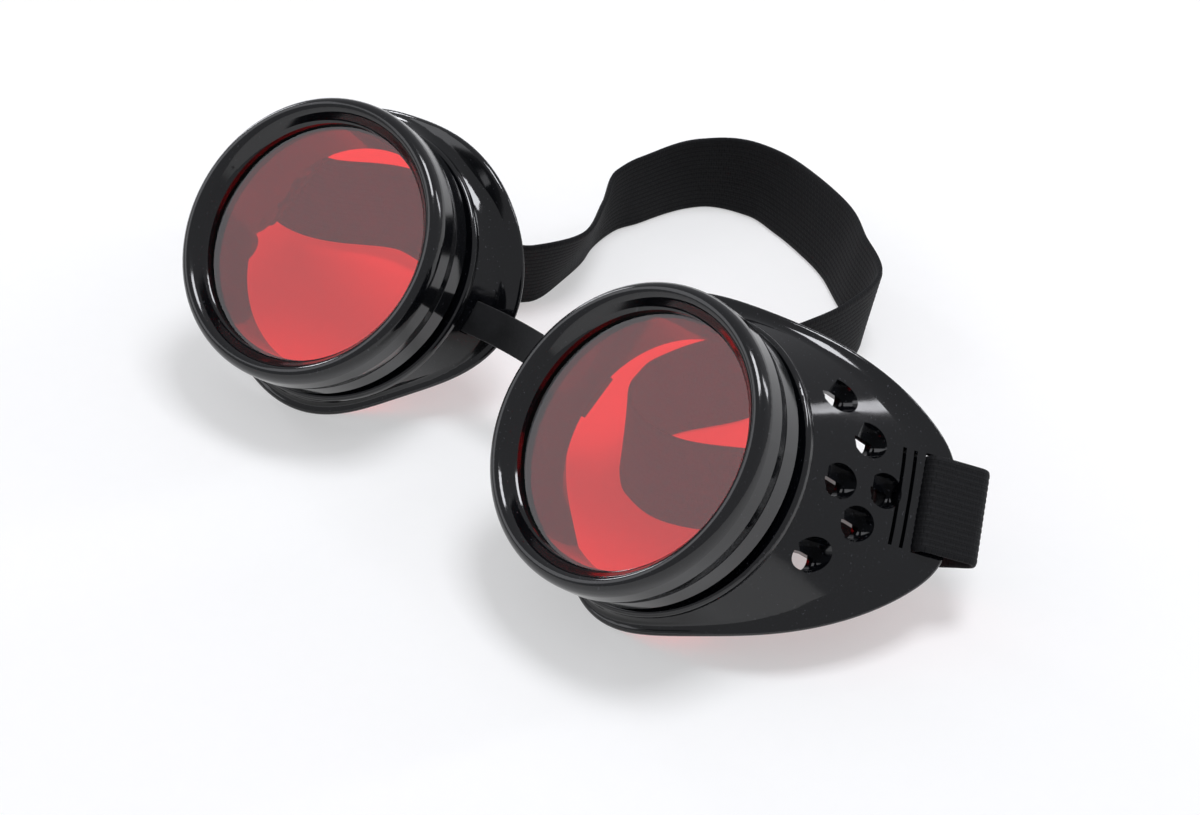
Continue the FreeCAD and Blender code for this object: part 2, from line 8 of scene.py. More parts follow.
import bpy
import numpy as np
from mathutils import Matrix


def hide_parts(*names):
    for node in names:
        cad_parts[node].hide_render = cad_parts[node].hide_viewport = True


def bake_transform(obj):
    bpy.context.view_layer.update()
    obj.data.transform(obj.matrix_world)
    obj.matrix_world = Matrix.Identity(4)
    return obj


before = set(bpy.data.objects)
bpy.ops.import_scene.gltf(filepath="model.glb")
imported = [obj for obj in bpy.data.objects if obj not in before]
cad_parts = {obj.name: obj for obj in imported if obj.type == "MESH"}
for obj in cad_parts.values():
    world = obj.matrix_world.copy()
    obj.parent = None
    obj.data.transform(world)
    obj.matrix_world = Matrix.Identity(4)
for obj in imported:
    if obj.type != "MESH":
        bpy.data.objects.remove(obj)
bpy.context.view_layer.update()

LOG = logging.getLogger("goggles")
MM = 0.001
# An angle that no edge passes, for a piece that is smooth all over.
NEVER_SHARP_DEG = 180.0


class Side(Enum):
    """Which eye a piece belongs to; the value is the sign of its X."""

    RIGHT = 1
    LEFT = -1

    @property
    def word(self) -> str:
        """Name of the side as the CAD nodes write it."""
        return self.name.lower()


def linear(hex_colour: str) -> tuple[float, float, float, float]:
    """Turn an sRGB hex colour into the linear colour that a shader takes.

    Args:
        hex_colour: colour as "#rrggbb".

    Returns:
        Linear red, green, blue and an alpha of 1.
    """
    channels = np.array([int(hex_colour[k:k + 2], 16) for k in (1, 3, 5)]) / 255.0
    low = channels / 12.92
    high = ((channels + 0.055) / 1.055) ** 2.4
    red, green, blue = np.where(channels <= 0.04045, low, high).tolist()
    return red, green, blue, 1.0


def add_node(tree: bpy.types.NodeTree, kind: str, inputs: dict[str | int, object] | None = None,
             **settings: object) -> bpy.types.Node:
    """Add one node, set its properties, and set or link its inputs.

    Args:
        tree: node tree that takes the node.
        kind: Blender's name of the node type.
        inputs: socket name or number to a plain value, or to the output socket to link.
        settings: properties of the node, such as its operation.

    Returns:
        The new node.
    """
    node = tree.nodes.new(kind)
    for name, value in settings.items():
        setattr(node, name, value)
    for name, value in (inputs or {}).items():
        if isinstance(value, bpy.types.NodeSocket):
            tree.links.new(value, node.inputs[name])
        else:
            node.inputs[name].default_value = value
    return node


def new_material(name: str) -> tuple[bpy.types.Material, bpy.types.NodeTree]:
    """Make an empty node material.

    Args:
        name: common name of the real material.

    Returns:
        The material and its cleared node tree.
    """
    material = bpy.data.materials.new(name)
    material.use_nodes = True
    material.node_tree.nodes.clear()
    return material, material.node_tree


def per_metre(size_mm: float) -> float:
    """Texture scale whose features are about this many millimetres apart."""
    return 1.0 / (size_mm * MM)


@dataclass(frozen=True)
class MouldedPlastic:
    """Glossy injection-moulded ABS: black, with a faint orange peel, soft gloss drift and a little dust."""

    name: str
    colour: str
    dust: str
    rough_low: float
    rough_high: float
    ior: float = 1.53
    peel_mm: float = 3.5
    peel_height_mm: float = 0.006
    peel_strength: float = 0.6
    drift_mm: float = 22.0
    drift_span: tuple[float, float] = (0.3, 0.7)
    dust_mm: float = 0.5
    dust_span: tuple[float, float] = (0.70, 0.78)
    dust_share: float = 0.5

    def material(self) -> bpy.types.Material:
        """Build the plastic's node material.

        Returns:
            The material.
        """
        material, tree = new_material(self.name)
        spot = add_node(tree, "ShaderNodeTexCoord").outputs["Object"]
        # Mould polish varies slowly over a part, which makes the gloss drift.
        drift = add_node(tree, "ShaderNodeTexNoise", {
            "Vector": spot, "Scale": per_metre(self.drift_mm), "Detail": 3.0})
        rough = add_node(tree, "ShaderNodeMapRange", {
            "Value": drift.outputs["Fac"], "From Min": self.drift_span[0], "From Max": self.drift_span[1],
            "To Min": self.rough_low, "To Max": self.rough_high})
        # Dust grains are drawn at half a millimetre, coarser than real ones, so that they show at all.
        grain = add_node(tree, "ShaderNodeTexNoise", {
            "Vector": spot, "Scale": per_metre(self.dust_mm), "Detail": 1.0})
        speck = add_node(tree, "ShaderNodeMapRange", {
            "Value": grain.outputs["Fac"], "From Min": self.dust_span[0], "From Max": self.dust_span[1],
            "To Min": 0.0, "To Max": self.dust_share})
        tint = add_node(tree, "ShaderNodeMix", {
            0: speck.outputs[0], 6: linear(self.colour), 7: linear(self.dust)}, data_type="RGBA")
        peel = add_node(tree, "ShaderNodeTexNoise", {
            "Vector": spot, "Scale": per_metre(self.peel_mm), "Detail": 1.0})
        bump = add_node(tree, "ShaderNodeBump", {
            "Height": peel.outputs["Fac"], "Strength": self.peel_strength,
            "Distance": self.peel_height_mm * MM})
        shader = add_node(tree, "ShaderNodeBsdfPrincipled", {
            "Base Color": tint.outputs[2], "Roughness": rough.outputs[0], "Normal": bump.outputs[0],
            "IOR": self.ior, "Metallic": 0.0})
        add_node(tree, "ShaderNodeOutputMaterial", {"Surface": shader.outputs[0]})
        return material


@dataclass(frozen=True)
class TintedLens:
    """Flat dyed polycarbonate: clear deep red, very smooth, with faint wiping marks in its gloss."""

    name: str
    dye: str
    shadow: str
    ior: float = 1.58
    wipe_mm: float = 9.0
    # Wiping marks are about three times as long along Y and Z as along X.
    wipe_stretch: tuple[float, float, float] = (1.0, 0.35, 0.35)
    wipe_span: tuple[float, float] = (0.45, 0.75)
    wiped_roughness: float = 0.035

    def material(self) -> bpy.types.Material:
        """Build the lens's node material; lamps shine through it with its tint.

        Returns:
            The material.
        """
        material, tree = new_material(self.name)
        spot = add_node(tree, "ShaderNodeTexCoord").outputs["Object"]
        wiped = add_node(tree, "ShaderNodeMapping", {"Vector": spot, "Scale": self.wipe_stretch})
        wipe = add_node(tree, "ShaderNodeTexNoise", {
            "Vector": wiped.outputs[0], "Scale": per_metre(self.wipe_mm), "Detail": 4.0})
        rough = add_node(tree, "ShaderNodeMapRange", {
            "Value": wipe.outputs["Fac"], "From Min": self.wipe_span[0], "From Max": self.wipe_span[1],
            "To Min": 0.0, "To Max": self.wiped_roughness})
        glass = add_node(tree, "ShaderNodeBsdfPrincipled", {
            "Base Color": linear(self.dye), "Roughness": rough.outputs[0], "IOR": self.ior,
            "Transmission Weight": 1.0})
        passing = add_node(tree, "ShaderNodeBsdfTransparent", {"Color": linear(self.shadow)})
        path = add_node(tree, "ShaderNodeLightPath")
        both = add_node(tree, "ShaderNodeMixShader", {
            0: path.outputs["Is Shadow Ray"], 1: glass.outputs[0], 2: passing.outputs[0]})
        add_node(tree, "ShaderNodeOutputMaterial", {"Surface": both.outputs[0]})
        return material


@dataclass(frozen=True)
class WovenElastic:
    """Woven polyester elastic: lengthwise ribs, short floats across them, a soft sheen and stray fuzz."""

    name: str
    thread: str
    gap: str
    lint: str
    rib_mm: float
    float_mm: float = 1.15
    float_shade: float = 0.75
    gap_mm: float = 0.13
    fuzz_mm: float = 0.35
    fuzz_height_share: float = 0.5
    lint_span: tuple[float, float] = (0.62, 0.8)
    lint_share: float = 0.35
    worn_mm: float = 14.0
    yarn_height_mm: float = 0.12
    yarn_strength: float = 0.7
    roughness: float = 0.72
    ior: float = 1.5
    specular: float = 0.25
    sheen: float = 0.05
    sheen_roughness: float = 0.4
    sheen_tint: str = "#8a8c92"

    def material(self) -> bpy.types.Material:
        """Build the elastic's node material; its UV map is in millimetres along and across the band.

        Returns:
            The material.
        """
        material, tree = new_material(self.name)
        place = add_node(tree, "ShaderNodeUVMap", uv_map="weave").outputs[0]
        # Each rib is a column of short floats, half a float out of step with its neighbours.
        dull = (self.float_shade, self.float_shade, self.float_shade, 1.0)
        weave = add_node(tree, "ShaderNodeTexBrick", {
            "Vector": place, "Color1": (1, 1, 1, 1), "Color2": dull, "Mortar": (0, 0, 0, 1),
            "Scale": 1.0, "Mortar Size": self.gap_mm, "Mortar Smooth": 1.0, "Bias": 0.0,
            "Brick Width": self.float_mm, "Row Height": self.rib_mm}, offset=0.5, offset_frequency=2)
        spot = add_node(tree, "ShaderNodeTexCoord").outputs["Object"]
        fuzz = add_node(tree, "ShaderNodeTexNoise", {
            "Vector": spot, "Scale": per_metre(self.fuzz_mm), "Detail": 3.0})
        worn = add_node(tree, "ShaderNodeTexNoise", {
            "Vector": spot, "Scale": per_metre(self.worn_mm), "Detail": 2.0})
        yarn = add_node(tree, "ShaderNodeMix", {
            0: weave.outputs["Color"], 6: linear(self.gap), 7: linear(self.thread)}, data_type="RGBA")
        lint = add_node(tree, "ShaderNodeMapRange", {
            "Value": fuzz.outputs["Fac"], "From Min": self.lint_span[0], "From Max": self.lint_span[1],
            "To Min": 0.0, "To Max": self.lint_share})
        dusty = add_node(tree, "ShaderNodeMath", {
            0: lint.outputs[0], 1: worn.outputs["Fac"]}, operation="MULTIPLY")
        tint = add_node(tree, "ShaderNodeMix", {
            0: dusty.outputs[0], 6: yarn.outputs[2], 7: linear(self.lint)}, data_type="RGBA")
        high = add_node(tree, "ShaderNodeMath", {
            0: fuzz.outputs["Fac"], 1: self.fuzz_height_share, 2: weave.outputs["Color"]},
            operation="MULTIPLY_ADD")
        bump = add_node(tree, "ShaderNodeBump", {
            "Height": high.outputs[0], "Strength": self.yarn_strength,
            "Distance": self.yarn_height_mm * MM})
        shader = add_node(tree, "ShaderNodeBsdfPrincipled", {
            "Base Color": tint.outputs[2], "Roughness": self.roughness, "Normal": bump.outputs[0],
            "IOR": self.ior, "Specular IOR Level": self.specular, "Sheen Weight": self.sheen,
            "Sheen Roughness": self.sheen_roughness, "Sheen Tint": linear(self.sheen_tint)})
        add_node(tree, "ShaderNodeOutputMaterial", {"Surface": shader.outputs[0]})
        return material


@dataclass(frozen=True)
class FlexibleStrip:
    """Calendered soft PVC: satin black, with a fine pressed grain and slightly paler rubbed patches."""

    name: str
    colour: str
    rubbed: str
    grain_mm: float = 0.7
    grain_height_mm: float = 0.05
    grain_strength: float = 0.35
    patch_mm: float = 5.0
    rubbed_span: tuple[float, float] = (0.45, 0.75)
    rubbed_share: float = 0.6
    rough_span: tuple[float, float] = (0.3, 0.7)
    rough_low: float = 0.42
    rough_high: float = 0.56
    ior: float = 1.5

    def material(self) -> bpy.types.Material:
        """Build the strip's node material.

        Returns:
            The material.
        """
        material, tree = new_material(self.name)
        spot = add_node(tree, "ShaderNodeTexCoord").outputs["Object"]
        grain = add_node(tree, "ShaderNodeTexVoronoi", {"Vector": spot, "Scale": per_metre(self.grain_mm)})
        patch = add_node(tree, "ShaderNodeTexNoise", {
            "Vector": spot, "Scale": per_metre(self.patch_mm), "Detail": 3.0})
        worn = add_node(tree, "ShaderNodeMapRange", {
            "Value": patch.outputs["Fac"], "From Min": self.rubbed_span[0], "From Max": self.rubbed_span[1],
            "To Min": 0.0, "To Max": self.rubbed_share})
        tint = add_node(tree, "ShaderNodeMix", {
            0: worn.outputs[0], 6: linear(self.colour), 7: linear(self.rubbed)}, data_type="RGBA")
        rough = add_node(tree, "ShaderNodeMapRange", {
            "Value": patch.outputs["Fac"], "From Min": self.rough_span[0], "From Max": self.rough_span[1],
            "To Min": self.rough_low, "To Max": self.rough_high})
        bump = add_node(tree, "ShaderNodeBump", {
            "Height": grain.outputs["Distance"], "Strength": self.grain_strength,
            "Distance": self.grain_height_mm * MM})
        shader = add_node(tree, "ShaderNodeBsdfPrincipled", {
            "Base Color": tint.outputs[2], "Roughness": rough.outputs[0], "Normal": bump.outputs[0],
            "IOR": self.ior})
        add_node(tree, "ShaderNodeOutputMaterial", {"Surface": shader.outputs[0]})
        return material


@dataclass(frozen=True)
class StudioFloor:
    """Matt white paper sweep with a barely seen tooth, lifted towards white where it is the background."""

    name: str
    colour: str
    shade: str
    lift: float = 0.42
    tooth_mm: float = 4.0

    def material(self) -> bpy.types.Material:
        """Build the paper's node material; the lift is for what the camera, a gloss or a lens sees of it.

        Returns:
            The material.
        """
        material, tree = new_material(self.name)
        spot = add_node(tree, "ShaderNodeTexCoord").outputs["Object"]
        tooth = add_node(tree, "ShaderNodeTexNoise", {
            "Vector": spot, "Scale": per_metre(self.tooth_mm), "Detail": 4.0})
        tint = add_node(tree, "ShaderNodeMix", {
            0: tooth.outputs["Fac"], 6: linear(self.colour), 7: linear(self.shade)}, data_type="RGBA")
        paper = add_node(tree, "ShaderNodeBsdfDiffuse", {"Color": tint.outputs[2]})
        white = add_node(tree, "ShaderNodeEmission", {"Color": linear("#ffffff"), "Strength": 1.0})
        path = add_node(tree, "ShaderNodeLightPath")
        mirrored = add_node(tree, "ShaderNodeMath", {
            0: path.outputs["Is Glossy Ray"], 1: path.outputs["Is Transmission Ray"]}, operation="MAXIMUM")
        seen = add_node(tree, "ShaderNodeMath", {
            0: path.outputs["Is Camera Ray"], 1: mirrored.outputs[0]}, operation="MAXIMUM")
        share = add_node(tree, "ShaderNodeMath", {0: seen.outputs[0], 1: self.lift}, operation="MULTIPLY")
        both = add_node(tree, "ShaderNodeMixShader", {
            0: share.outputs[0], 1: paper.outputs[0], 2: white.outputs[0]})
        add_node(tree, "ShaderNodeOutputMaterial", {"Surface": both.outputs[0]})
        return material


@dataclass(frozen=True)
class CupFrame:
    """Place and directions of one eyecup's lens: temple, across and outward axis, in millimetres."""

    side: Side
    spacing: float = 89.0
    height: float = 35.676
    shift: tuple[float, float] = (0.829, -44.499)
    tilt_deg: float = 47.3
    toe_deg: float = 8.7
    rise_right_deg: float = 32.0
    rise_left_deg: float = 16.0

    @property
    def centre(self) -> np.ndarray:
        """Middle of the lens's front."""
        return np.array([self.side.value * 0.5 * self.spacing + self.shift[0], self.shift[1], self.height])

    def axes(self) -> tuple[np.ndarray, np.ndarray, np.ndarray]:
        """Work out the cup's directions.

        Returns:
            Unit vectors to the temple, across it, and out of the lens.
        """
        tilt, toe = math.radians(self.tilt_deg), math.radians(self.toe_deg)
        rise = math.radians(self.rise_right_deg if self.side is Side.RIGHT else self.rise_left_deg)
        sign = self.side.value
        outward, back = sign * math.sin(toe), math.cos(toe)
        axis = np.array([-outward * math.cos(tilt), -back * math.cos(tilt), math.sin(tilt)])
        level = np.array([sign * math.cos(toe), -math.sin(toe), 0.0])
        upward = np.array([outward * math.sin(tilt), back * math.sin(tilt), math.cos(tilt)])
        temple = level * math.cos(rise) + upward * math.sin(rise)
        across = upward * math.cos(rise) - level * math.sin(rise)
        return temple, across, axis


def unit(vectors: np.ndarray) -> np.ndarray:
    """Scale each row to length one."""
    return vectors / np.linalg.norm(vectors, axis=-1, keepdims=True)


def smooth_step(share: np.ndarray) -> np.ndarray:
    """Ease from 0 to 1 with level ends: 3 s squared minus 2 s cubed."""
    share = np.clip(share, 0.0, 1.0)
    return share * share * (3.0 - 2.0 * share)


def eased(at: np.ndarray, knots: np.ndarray, values: np.ndarray) -> np.ndarray:
    """Value at each place, eased from knot to knot.

    Args:
        at: places along a path.
        knots: rising places of the known values.
        values: known values.

    Returns:
        One value for each place.
    """
    left = np.clip(np.searchsorted(knots, at, side="right") - 1, 0, len(knots) - 2)
    share = smooth_step((at - knots[left]) / (knots[left + 1] - knots[left]))
    return values[left] + (values[left + 1] - values[left]) * share


def clamped_spline(knots: np.ndarray, points: np.ndarray, first: np.ndarray, last: np.ndarray,
                   at: np.ndarray) -> tuple[np.ndarray, np.ndarray]:
    """Cubic curve through points with given end directions, smooth to the second derivative.

    The slopes m solve
    m[k-1] h[k] + 2 m[k] (h[k-1] + h[k]) + m[k+1] h[k-1] = 3 (h[k] d[k-1] + h[k-1] d[k]),
    where h are knot steps and d the chords' slopes; each span is then the Hermite cubic of its ends.

    Args:
        knots: rising parameter of each point.
        points: points to pass through.
        first: direction at the start.
        last: direction at the end.
        at: parameters to evaluate.

    Returns:
        Positions and unit tangents.
    """
    step = np.diff(knots)
    chord = np.diff(points, axis=0) / step[:, None]
    count = len(knots)
    matrix = np.eye(count)
    right = np.empty_like(points)
    right[0], right[-1] = first, last
    inner = np.arange(1, count - 1)
    matrix[inner, inner - 1] = step[1:]
    matrix[inner, inner] = 2.0 * (step[:-1] + step[1:])
    matrix[inner, inner + 1] = step[:-1]
    right[1:-1] = 3.0 * (step[1:, None] * chord[:-1] + step[:-1, None] * chord[1:])
    slope = np.linalg.solve(matrix, right)
    span = np.clip(np.searchsorted(knots, at, side="right") - 1, 0, count - 2)
    gap = step[span][:, None]
    share = ((at - knots[span]) / step[span])[:, None]
    start, stop = points[span], points[span + 1]
    leaving, arriving = slope[span] * gap, slope[span + 1] * gap
    place = (start * (2 * share**3 - 3 * share**2 + 1) + leaving * (share**3 - 2 * share**2 + share)
             + stop * (3 * share**2 - 2 * share**3) + arriving * (share**3 - share**2))
    along = (start * (6 * share**2 - 6 * share) + leaving * (3 * share**2 - 4 * share + 1)
             + stop * (6 * share - 6 * share**2) + arriving * (3 * share**2 - 2 * share)) / gap
    return place, unit(along)


def swept_mesh(name: str, centres: np.ndarray, wide: np.ndarray, thick: np.ndarray, section_w: np.ndarray,
               section_t: np.ndarray, sharp_deg: float = NEVER_SHARP_DEG) -> bpy.types.Object:
    """Carry a closed section along a path and close both ends.

    Point (i, j) is centre i, plus wide i times the section's width value, plus thick i times its thickness
    value.

    Args:
        name: name of the piece.
        centres: path points in millimetres.
        wide: width direction at each point.
        thick: thickness direction at each point.
        section_w: width values, one row for each path point.
        section_t: thickness values, one row for each path point.
        sharp_deg: edges turning by more than this stay sharp.

    Returns:
        The piece, at the origin, with a UV map "weave" of millimetres along the path and across the section.
    """
    rows, columns = section_w.shape
    grid = centres[:, None] + wide[:, None] * section_w[..., None] + thick[:, None] * section_t[..., None]
    ends = np.array([grid[0].mean(axis=0), grid[-1].mean(axis=0)])
    spots = np.concatenate([grid.reshape(-1, 3), ends]) * MM
    row, column = np.meshgrid(np.arange(rows - 1), np.arange(columns), indexing="ij")
    here = (row * columns + column).ravel()
    beside = (row * columns + (column + 1) % columns).ravel()
    quads = np.stack([here, beside, beside + columns, here + columns], axis=1)
    ring = np.arange(columns)
    after = (ring + 1) % columns
    far = (rows - 1) * columns
    caps = np.concatenate([
        np.stack([after, ring, np.full(columns, rows * columns)], axis=1),
        np.stack([ring + far, after + far, np.full(columns, rows * columns + 1)], axis=1)])
    triangles = np.concatenate([quads[:, :3], quads[:, [0, 2, 3]], caps])
    first, second, third = spots[triangles].transpose(1, 0, 2)
    if np.sum(first * np.cross(second, third)) < 0:
        quads, caps = quads[:, ::-1], caps[:, ::-1]
    mesh = bpy.data.meshes.new(name)
    mesh.from_pydata(spots.tolist(), [], quads.tolist() + caps.tolist())
    length = np.concatenate([[0.0], np.cumsum(np.linalg.norm(np.diff(centres, axis=0), axis=1))])
    flat = np.stack([np.broadcast_to(length[:, None], section_w.shape), section_w], axis=-1).reshape(-1, 2)
    flat = np.concatenate([flat, [[length[0], 0.0], [length[-1], 0.0]]])
    corner_spot = np.empty(len(mesh.loops), dtype=np.int32)
    mesh.loops.foreach_get("vertex_index", corner_spot)
    mesh.uv_layers.new(name="weave").data.foreach_set("uv", flat[corner_spot].astype(np.float32).ravel())
    mesh.polygons.foreach_set("use_smooth", np.ones(len(mesh.polygons), dtype=bool))
    if sharp_deg < NEVER_SHARP_DEG:
        mesh.set_sharp_from_angle(angle=math.radians(sharp_deg))
    mesh.update()
    piece = bpy.data.objects.new(name, mesh)
    bpy.context.scene.collection.objects.link(piece)
    return piece


def dress(obj: bpy.types.Object, material: bpy.types.Material) -> None:
    """Give a piece one material all over."""
    obj.data.materials.clear()
    obj.data.materials.append(material)


def report(obj: bpy.types.Object) -> None:
    """Log a piece's name and its number of faces."""
    LOG.info("%s: %d faces", obj.name, len(obj.data.polygons))


@dataclass
class Headband:
    """Woven elastic from one cup's temple slot round the back to the other's, on edge on the table."""

    finish: WovenElastic
    width: float = 18.5
    thickness: float = 1.2
    ribs: int = 15
    rib_depth: float = 0.11
    rib_points: int = 5
    edge_points: int = 5
    step: float = 1.2
    fold_step: float = 0.45
    fold_samples: int = 4001
    bend_from: float = 14.0
    bend_to: float = -26.0
    fold_start: tuple[float, float] = (34.011, 32.035)
    fold_heading_deg: float = 63.124
    # Straight run in millimetres, then a turn in degrees on a radius: hem, slot, flange and fold.
    fold_moves: tuple[tuple[float, float, float], ...] = (
        (7.0, -90.0, 1.4), (2.5, 81.663, 1.4), (8.6, 128.0, 2.2))
    # Place in lens spacings, height in band widths, how upright it stands, and lean out of the loop.
    route_shares: tuple[tuple[float, ...], ...] = (
        (0.833, 0.439, 0.62, 0.40, 0.00), (0.687, 0.383, 0.53, 0.80, 0.10),
        (0.546, 0.294, 0.49, 1.00, 0.25), (0.401, 0.216, 0.49, 1.00, 0.27),
        (0.317, 0.221, 0.49, 1.00, 0.20), (0.253, 0.256, 0.50, 1.00, 0.10),
        (0.211, 0.334, 0.50, 1.00, -0.05), (0.209, 0.407, 0.49, 1.00, -0.20),
        (0.269, 0.581, 0.46, 1.00, -0.45), (0.333, 0.749, 0.50, 1.00, 0.00),
        (0.350, 0.884, 0.50, 1.00, 0.05), (0.300, 1.036, 0.49, 1.00, 0.20),
        (0.208, 1.090, 0.48, 1.00, 0.28), (0.105, 1.157, 0.47, 1.00, 0.33),
        (-0.001, 1.198, 0.47, 1.00, 0.32), (-0.128, 1.227, 0.48, 1.00, 0.30),
        (-0.248, 1.227, 0.49, 1.00, 0.17), (-0.363, 1.154, 0.50, 1.00, 0.00),
        (-0.418, 0.988, 0.50, 1.00, -0.05), (-0.430, 0.910, 0.49, 1.00, -0.14),
        (-0.382, 0.785, 0.46, 1.00, -0.32), (-0.341, 0.672, 0.42, 1.00, -0.47),
        (-0.358, 0.540, 0.47, 1.00, -0.25), (-0.482, 0.478, 0.51, 0.85, 0.00),
        (-0.720, 0.490, 0.62, 0.45, 0.00))

    def fold(self, cup: CupFrame) -> tuple[np.ndarray, np.ndarray]:
        """Trace one folded end in its cup's temple plane.

        The heading is piecewise linear along the path, constant on runs and changing on turns; the place is
        the running integral of its direction.

        Args:
            cup: eyecup that holds this end.

        Returns:
            Points from the hem inside the cup to the hand-over, and the unit directions along them.
        """
        temple, _, axis = cup.axes()
        lengths, headings = [0.0], [math.radians(self.fold_heading_deg)]
        for run, turn_deg, radius in self.fold_moves:
            lengths += [lengths[-1] + run, lengths[-1] + run + abs(math.radians(turn_deg)) * radius]
            headings += [headings[-1], headings[-1] + math.radians(turn_deg)]
        fine = np.linspace(0.0, lengths[-1], self.fold_samples)
        heading = np.interp(fine, lengths, headings)
        ways = np.stack([np.cos(heading), np.sin(heading)], axis=1)
        steps = 0.5 * (ways[1:] + ways[:-1]) * (fine[1] - fine[0])
        flat = np.concatenate([[self.fold_start], self.fold_start + np.cumsum(steps, axis=0)])
        pick = np.linspace(0, len(fine) - 1, int(lengths[-1] / self.fold_step)).astype(int)
        places = cup.centre + flat[pick, :1] * temple - flat[pick, 1:] * axis
        along = ways[pick, :1] * temple - ways[pick, 1:] * axis
        return places, along

    def path(self) -> tuple[np.ndarray, np.ndarray, np.ndarray]:
        """Lay the whole band: right fold, loop on the table, left fold.

        Returns:
            Points, width directions and thickness directions.
        """
        right, left = CupFrame(Side.RIGHT), CupFrame(Side.LEFT)
        fold_a, way_a = self.fold(right)
        fold_b, way_b = self.fold(left)
        shares = np.array(self.route_shares)
        shift = np.array([*right.shift, 0.0])
        loop = shares[:, :3] * [right.spacing, right.spacing, self.width] + shift
        points = np.concatenate([fold_a[-1:], loop, fold_b[-1:]])
        knots = np.concatenate([[0.0], np.cumsum(np.linalg.norm(np.diff(points, axis=0), axis=1))])
        upright = np.concatenate([[0.0], shares[:, 3], [0.0]])
        lean = np.concatenate([[0.0], shares[:, 4], [0.0]])
        at = np.linspace(0.0, knots[-1], int(knots[-1] / self.step))
        places, along = clamped_spline(knots, points, way_a[-1], -way_b[-1], at)
        stand = eased(at, knots, upright)[:, None]
        across_a, across_b = right.axes()[1], left.axes()[1]
        side = np.where(at[:, None] < 0.5 * knots[-1], across_a, across_b)
        upward = np.array([0.0, 0.0, 1.0])
        outward = np.cross(along, upward)
        wide = side * (1.0 - stand) + upward * stand + outward * eased(at, knots, lean)[:, None]
        places = np.concatenate([fold_a[:-1], places, fold_b[-2::-1]])
        along = np.concatenate([way_a[:-1], along, -way_b[-2::-1]])
        wide = np.concatenate([
            np.broadcast_to(across_a, way_a[:-1].shape), wide,
            np.broadcast_to(across_b, way_b[:-1].shape)])
        wide = unit(wide - along * np.sum(wide * along, axis=1, keepdims=True))
        thick = np.cross(along, wide)
        low = places[:, 2] - 0.5 * (self.width * np.abs(wide[:, 2]) + self.thickness * np.abs(thick[:, 2]))
        places = places + np.maximum(0.0, -low)[:, None] * upward
        return places, wide, thick

    def section(self) -> tuple[np.ndarray, np.ndarray]:
        """Draw the ribbed section.

        Across the face the half thickness is a flat part plus a rib that follows the size of a cosine, and
        each edge is a half round that joins the two faces.

        Returns:
            Width and thickness values of one closed turn.
        """
        edge = 0.5 * self.thickness - self.rib_depth
        half = 0.5 * self.width - edge
        across = np.linspace(-half, half, self.ribs * self.rib_points + 1)
        pitch = 2.0 * half / self.ribs
        rib = np.abs(np.cos(math.pi * (across + half) / pitch + 0.5 * math.pi))
        face = edge + self.rib_depth * rib
        turn = np.linspace(-0.5 * math.pi, 0.5 * math.pi, self.edge_points + 2)[1:-1]
        widths = np.concatenate([
            across, half + edge * np.cos(turn), across[::-1], -half - edge * np.cos(turn)])
        depths = np.concatenate([-face, edge * np.sin(turn), face[::-1], -edge * np.sin(turn)])
        return widths, depths

    def build(self) -> bpy.types.Object:
        """Make the band and dress it.

        Returns:
            The finished piece.
        """
        places, wide, thick = self.path()
        widths, depths = self.section()
        rows = len(places)
        piece = swept_mesh("headband_elastic", places, wide, thick,
                           np.tile(widths, (rows, 1)), np.tile(depths, (rows, 1)))
        dress(piece, self.finish.material())
        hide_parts("headband")
        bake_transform(piece)
        return piece


